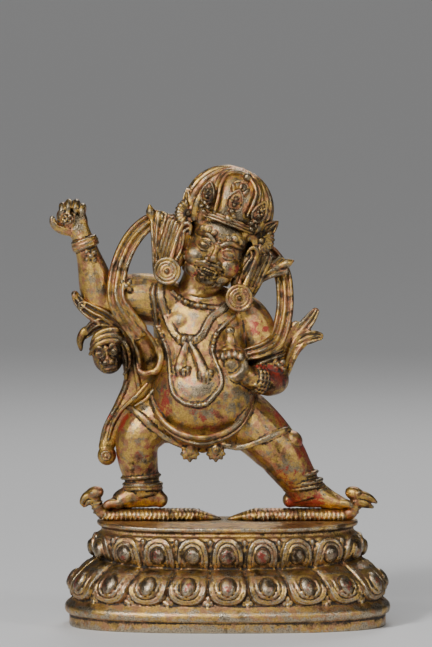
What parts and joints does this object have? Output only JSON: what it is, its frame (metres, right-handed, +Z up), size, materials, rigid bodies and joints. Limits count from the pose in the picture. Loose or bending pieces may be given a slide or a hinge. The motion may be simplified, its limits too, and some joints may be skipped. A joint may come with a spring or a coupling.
{
  "type": "vajrapani statuette",
  "caption": "Gilt bronze statuette of a wrathful protector in a lunge, one arm raised, standing on two snakes over an oval lotus base.",
  "frame": {"origin": "middle of the flat underside of the lotus base", "axes": "+Z up, the figure faces -Y, and +X is towards the viewer's right"},
  "size_m": [0.2221, 0.1214, 0.3],
  "materials": {
    "figure_bronze": "worn gilding and lacquer over dark bronze, satin",
    "base_bronze": "worn gilding over dark bronze, satin, polished on the mouldings"
  },
  "bodies": {
    "root": {"vajrapani_figure": "figure_bronze", "lotus_base": "base_bronze"}
  },
  "joints": []
}
